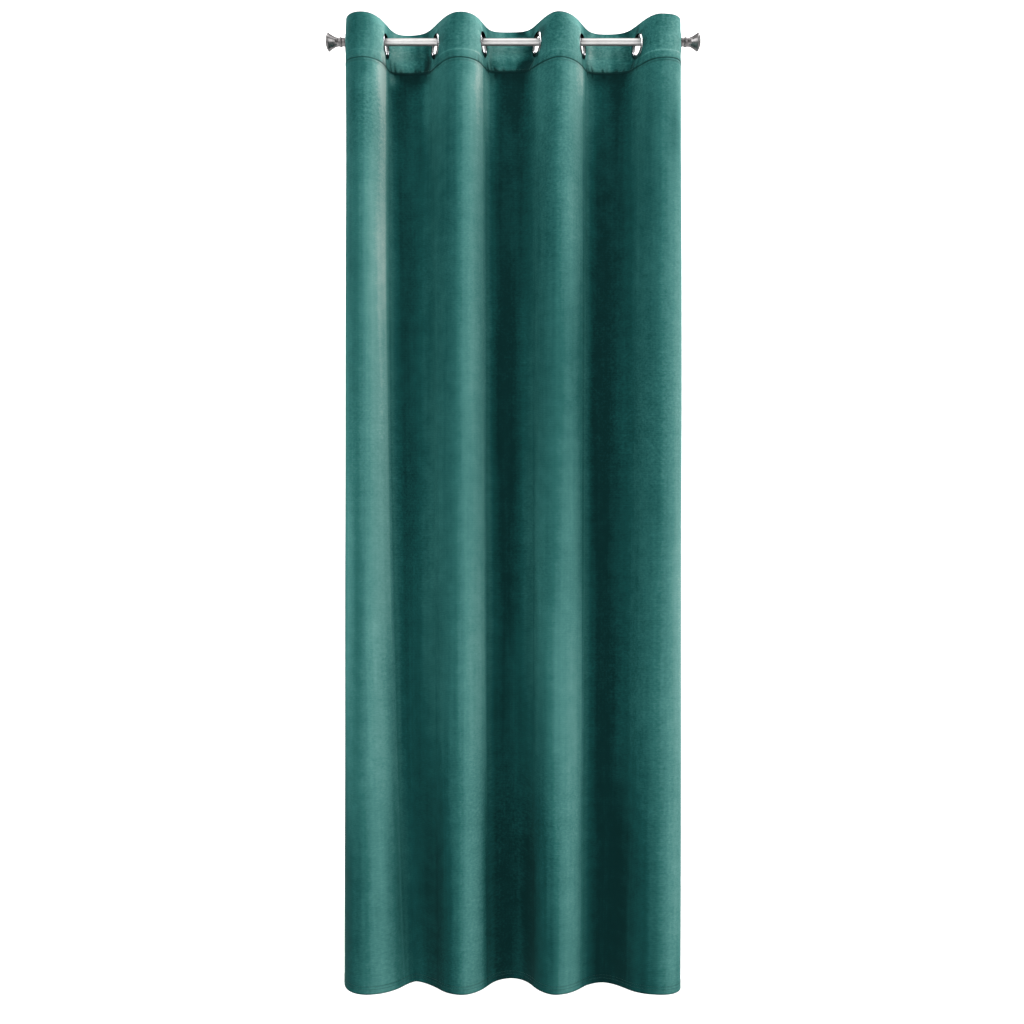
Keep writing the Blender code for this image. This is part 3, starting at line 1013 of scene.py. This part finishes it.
def turned_piece(name, outline, material, closed):
    """A piece turned about +Z from outline points (distance along +Z, radius).

    A closed outline makes a ring. An open one makes a spindle with capped ends."""
    build = bmesh.new()
    rings = [
        [
            build.verts.new(
                (
                    radius * math.cos(2 * math.pi * step / ROUND_STEPS),
                    radius * math.sin(2 * math.pi * step / ROUND_STEPS),
                    along,
                )
            )
            for step in range(ROUND_STEPS)
        ]
        for along, radius in outline
    ]
    pairs = list(zip(rings, rings[1:]))
    if closed:
        pairs.append((rings[-1], rings[0]))
    else:
        build.faces.new(rings[0])
        build.faces.new(rings[-1])
    for first, second in pairs:
        for step in range(ROUND_STEPS):
            after = (step + 1) % ROUND_STEPS
            build.faces.new((first[step], first[after], second[after], second[step]))
    bmesh.ops.recalc_face_normals(build, faces=build.faces)
    mesh = bpy.data.meshes.new(name)
    build.to_mesh(mesh)
    build.free()
    mesh.shade_smooth()
    mesh.set_sharp_from_angle(angle=math.radians(35))
    mesh.materials.append(material)
    return add_object(name, mesh)


def rounded(points, steps):
    """A smooth line through outline points."""
    line = []
    last = len(points) - 1
    for index in range(last):
        a = Vector(points[max(index - 1, 0)])
        b = Vector(points[index])
        c = Vector(points[index + 1])
        d = Vector(points[min(index + 2, last)])
        for step in range(steps):
            t = step / steps
            line.append(
                0.5
                * (
                    2 * b
                    + (c - a) * t
                    + (2 * a - 5 * b + 4 * c - d) * t * t
                    + (3 * b - a - 3 * c + d) * t**3
                )
            )
    return line + [Vector(points[-1])]


def place_piece(piece, slot, *nodes):
    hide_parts(*nodes)
    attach(piece, "root")


# Header strip and panel
HOLE_MARGIN = 0.0012
HOLE_RADIUS = RING_INNER_RADIUS + RING_WALL + HOLE_MARGIN
HOLE_CENTRES = [Vector((flank.x, flank.y, ring_centre_z(flank))) for flank in FLANKS]


def outside_holes(corners, front_at, row, column):
    """True for a cell of the header strip that no eyelet's hole takes away."""
    spots = [
        Vector(corners[front_at(row + down, column + right)])
        for down in (0, 1)
        for right in (0, 1)
    ]
    middle = sum(spots, Vector()) / len(spots)
    return all((middle - centre).length >= HOLE_RADIUS for centre in HOLE_CENTRES)


# The hems along the panel's foot and sides, and the dents that their stitches pull
HEM_WIDTH = 0.0215
HEM_TOP = 0.0240
HEM_STEP = 0.0020
SIDE_STITCH_INSET = 0.0190
STITCH_GROOVE = 0.0005
STITCH_SINK = 0.0003
SIDE_STITCH_DROP = 0.0030

# How far from its folded edges and from the seam the cloth is cut finely, and where the
# coarse rows below the seam begin
EDGE_FINE = 0.0016
SEAM_FINE = 0.0040
HEADER_FINE = 0.0240
PANEL_FINE = 0.0500
COARSE_Z = -0.6000


def fold_round(depth, thickness):
    """How much of its thickness a folded edge keeps at a depth below its outermost line."""
    inward = clamp(depth / (thickness / 2))
    return math.sqrt(max(0.05, 1 - (1 - inward) ** 2))


def header_thickness(run, whole, z):
    seam_groove = STITCH_GROOVE * bell(z - SEAM_Z - SEAM_STITCH_RISE, STITCH_LINE)
    return HEADER_THICKNESS * fold_round(TOP_Z - z, HEADER_THICKNESS) - seam_groove


def panel_thickness(run, whole, z):
    edge = min(run, whole - run)
    hem = smooth((HEM_Z + HEM_WIDTH - z) / HEM_STEP)
    side = smooth((HEM_WIDTH - edge) / HEM_STEP)
    plain = mix(PANEL_THICKNESS, HEM_THICKNESS, max(hem, side))
    groove = max(
        STITCH_GROOVE * bell(z - HEM_Z - rise, STITCH_LINE) for rise in HEM_STITCH_RISES
    )
    return plain * fold_round(z - HEM_Z, HEM_THICKNESS) - groove


velvet_front = velvet()
velvet_back = velvet_reverse()
sewing_thread = thread()


def rows_through(start, *stretches):
    """Heights from start down through stretches, each (its lower end, how many rows)."""
    heights = [start]
    for end, count in stretches:
        top = heights[-1]
        heights += [mix(top, end, row / count) for row in range(1, count + 1)]
    return heights


header = cloth_sheet(
    "velvet_header_strip",
    rows_through(
        TOP_Z,
        (TOP_Z - EDGE_FINE, EDGE_ROWS),
        (SEAM_Z + HEADER_FINE, 44),
        (SEAM_Z + SEAM_FINE, 16),
        (SEAM_Z, 6),
    ),
    HEADER_CUT,
    header_thickness,
    outside_holes,
    (velvet_front, velvet_back),
)
panel_top = SEAM_Z - FIT_GAP
panel = cloth_sheet(
    "velvet_panel",
    rows_through(
        panel_top,
        (SEAM_Z - SEAM_FINE, 6),
        (SEAM_Z - PANEL_FINE, 20),
        (COARSE_Z, 44),
        (HEM_Z + HEM_TOP, 66),
        (HEM_Z + EDGE_FINE, 24),
        (HEM_Z, EDGE_ROWS),
    ),
    PANEL_CUT,
    panel_thickness,
    lambda corners, front_at, row, column: True,
    (velvet_front, velvet_back),
)
place_piece(header, "velvet", "header_strip")
place_piece(panel, "velvet", "curtain_panel")
thread_piece(
    "seam_stitches",
    stitches_along(SEAM_Z + SEAM_STITCH_RISE, HEADER_CUT, HEADER_THICKNESS / 2 - STITCH_SINK),
    sewing_thread,
)
thread_piece(
    "hem_stitches",
    [
        stitch
        for rise in HEM_STITCH_RISES
        for stitch in stitches_along(HEM_Z + rise, PANEL_CUT, HEM_THICKNESS / 2 - STITCH_SINK)
    ],
    sewing_thread,
)
thread_piece(
    "side_hem_stitches",
    stitches_down(
        SIDE_STITCH_INSET,
        SEAM_Z - SIDE_STITCH_DROP,
        HEM_Z + HEM_TOP,
        PANEL_CUT,
        HEM_THICKNESS / 2,
    ),
    sewing_thread,
)

# Eyelets
CHROME_STREAKS = ((400.0, 400.0, 40.0), 0.04)
# Painted reflection: the rings' tops are darkened in their colour, standing in for the dark things
# their chrome mirrors there
RING_PAINTED_LIGHT_BANDS = ((0.10, 0.12), (0.19, 0.14), (0.28, 1.0))
chrome = metal(
    "eyelet_chrome",
    (0.36, 0.37, 0.38),
    1.0,
    0.15,
    0.06,
    CHROME_STREAKS,
    RING_OUTER_RADIUS,
    RING_PAINTED_LIGHT_BANDS,
)


def ring_outline():
    groove = HEADER_THICKNESS / 2 + FIT_GAP
    floor = RING_INNER_RADIUS + RING_WALL - FIT_GAP
    lip = RING_HALF_DEPTH
    top = rounded(
        (
            (groove, RING_OUTER_RADIUS),
            (groove + 0.0006, RING_OUTER_RADIUS + 0.0001),
            (groove + 0.0014, RING_OUTER_RADIUS - 0.0010),
            (lip - 0.0001, RING_OUTER_RADIUS - 0.0032),
            (lip, RING_OUTER_RADIUS - 0.0050),
            (lip, RING_INNER_RADIUS + 0.0022),
            (lip - 0.0004, RING_INNER_RADIUS + 0.0007),
            (lip - 0.0016, RING_INNER_RADIUS),
        ),
        4,
    )
    half = [Vector((groove, floor))] + top
    return half + [Vector((-point.x, point.y)) for point in reversed(half)]


for number, flank in enumerate(FLANKS, 1):
    eyelet = turned_piece(f"eyelet_{number}_grommet", ring_outline(), chrome, True)
    eyelet.matrix_world = flank_frame(flank)
    place_piece(eyelet, "eyelet_metal", f"eyelet_{number}")

# Rod
ROD_STREAKS = ((500.0, 500.0, 8.0), 0.03)
# Painted shade and reflection: the rod's colour is greyed at its top edge and darkened on its
# underside, standing in for what the satin metal mirrors and the shade below it
ROD_PAINTED_LIGHT_BANDS = (
    (0.05, 0.30),
    (0.20, 0.50),
    (0.38, 0.90),
    (0.50, 1.00),
    (0.78, 1.00),
    (0.92, 0.46),
    (1.00, 0.24),
)
satin = metal(
    "rod_satin", (0.82, 0.80, 0.79), 0.50, 0.30, 0.10, ROD_STREAKS, ROD_RADIUS, ROD_PAINTED_LIGHT_BANDS
)
END_CHAMFER = 0.0008
rod_outline = (
    (-ROD_HALF_LENGTH, ROD_RADIUS - END_CHAMFER),
    (-ROD_HALF_LENGTH + END_CHAMFER, ROD_RADIUS),
    (ROD_HALF_LENGTH - END_CHAMFER, ROD_RADIUS),
    (ROD_HALF_LENGTH, ROD_RADIUS - END_CHAMFER),
)
rod = turned_piece("satin_rod", rod_outline, satin, False)
rod.matrix_world = Matrix.Rotation(math.pi / 2, 4, "Y")
place_piece(rod, "rod_metal", "rod")

# Finials
FINIAL_STREAKS = ((30.0, 30.0, 400.0), 0.02)
pewter = metal("finial_pewter", (0.21, 0.20, 0.20), 0.88, 0.28, 0.03, FINIAL_STREAKS)
FINIAL_RUNS = (
    ((0.0000, 0.0006), (0.0003, 0.0060), (0.0016, 0.0130), (0.0040, 0.0190), (0.0052, 0.0208)),
    ((0.0056, 0.0222), (0.0068, 0.0226), (0.0082, 0.0225), (0.0090, 0.0216)),
    ((0.0098, 0.0210), (0.0130, 0.0190), (0.0180, 0.0161), (0.0240, 0.0128), (0.0290, 0.0113)),
    ((0.0310, 0.0109), (0.0352, 0.0106)),
    ((0.0358, 0.0108), (0.0372, 0.0119), (0.0390, 0.0124), (0.0408, 0.0121), (0.0420, 0.0110)),
    ((0.0428, 0.0106), (0.0502, 0.0106), (0.0508, 0.0101)),
)
for name, node, side in (
    ("pewter_finial_left", "finial_left", -1),
    ("pewter_finial_right", "finial_right", 1),
):
    outline = [point for run in FINIAL_RUNS for point in rounded(run, 5)]
    outline += [Vector((0.0508, ROD_RADIUS + FIT_GAP)), Vector((0.0401, ROD_RADIUS + FIT_GAP))]
    finial = turned_piece(name, outline, pewter, False)
    turn = Matrix.Rotation(-side * math.pi / 2, 4, "Y")
    finial.matrix_world = Matrix.Translation((side * FINIAL_TIP_X, 0.0, 0.0)) @ turn
    place_piece(finial, "finial_metal", node)


# Floor and backdrop in one sweep, lights and camera
def make_stage():
    floor_z = HEM_Z - 0.12
    half_width = 6.0
    outline = [(-5.0, floor_z), (2.2, floor_z)]
    bend_radius = 1.0
    for step in range(1, 13):
        angle = math.pi / 2 * step / 12
        outline.append(
            (2.2 + bend_radius * math.sin(angle), floor_z + bend_radius * (1 - math.cos(angle)))
        )
    outline.append((3.2, 3.5))
    corners = [(side * half_width, y, z) for y, z in outline for side in (-1, 1)]
    faces = [
        (2 * index, 2 * index + 1, 2 * index + 3, 2 * index + 2)
        for index in range(len(outline) - 1)
    ]
    mesh = bpy.data.meshes.new("pale_floor")
    mesh.from_pydata(corners, [], faces)
    mesh.shade_smooth()
    n = Nodes("pale_floor")
    n.shader.inputs["Base Color"].default_value = (0.93, 0.93, 0.93, 1.0)
    n.shader.inputs["Roughness"].default_value = 0.9
    mesh.materials.append(n.material)
    sweep = add_object("pale_floor", mesh)


def add_light(name, place, target, width, height, power):
    data = bpy.data.lights.new(name, "AREA")
    data.shape = "RECTANGLE"
    data.size = width
    data.size_y = height
    data.energy = power
    lamp = add_object(name, data)
    lamp.location = place
    aim = Vector(target) - Vector(place)
    lamp.rotation_euler = aim.to_track_quat("-Z", "Y").to_euler()


make_stage()
add_light("key", (-1.9, -2.9, 0.6), (0.0, 0.0, -1.1), 1.6, 3.0, 95)
add_light("fill", (2.2, -2.8, 0.4), (0.0, 0.0, -1.0), 1.4, 2.6, 55)
add_light("top", (0.3, -0.9, 2.2), (0.0, 0.0, -0.4), 1.8, 1.2, 22)
add_light("backdrop_left", (-2.0, 0.9, 1.8), (0.0, 3.2, -1.0), 2.5, 1.0, 130)
add_light("backdrop_right", (2.0, 0.9, 1.8), (0.0, 3.2, -1.0), 2.5, 1.0, 130)


def make_world():
    """Pale all round and darker on the room's side, so that polished metal has contrast."""
    world = bpy.data.worlds.new("studio")
    world.use_nodes = True
    tree = world.node_tree
    direction = tree.nodes.new("ShaderNodeTexCoord")
    parts = tree.nodes.new("ShaderNodeSeparateXYZ")
    tree.links.new(direction.outputs["Generated"], parts.inputs[0])
    ramp = tree.nodes.new("ShaderNodeValToRGB")
    ramp.color_ramp.elements[0].position = 0.0
    ramp.color_ramp.elements[0].color = (1.0, 1.0, 1.0, 1.0)
    ramp.color_ramp.elements[1].position = 1.0
    ramp.color_ramp.elements[1].color = (0.12, 0.12, 0.12, 1.0)
    spread = tree.nodes.new("ShaderNodeMapRange")
    spread.inputs["From Min"].default_value = 0.1
    spread.inputs["From Max"].default_value = -0.6
    tree.links.new(parts.outputs["Y"], spread.inputs["Value"])
    tree.links.new(spread.outputs["Result"], ramp.inputs["Fac"])
    background = tree.nodes["Background"]
    tree.links.new(ramp.outputs["Color"], background.inputs["Color"])
    background.inputs["Strength"].default_value = 0.9
    bpy.context.scene.world = world


make_world()
bpy.context.scene.view_settings.view_transform = "Standard"

camera_data = bpy.data.cameras.new("camera")
camera_data.lens = 33.895
camera_data.sensor_width = 36.0
camera = add_object("camera", camera_data)
camera.location = (-0.0028, -2.515, -1.2256)
camera.rotation_euler = (math.pi / 2, 0.0, 0.0)
bpy.context.scene.camera = camera
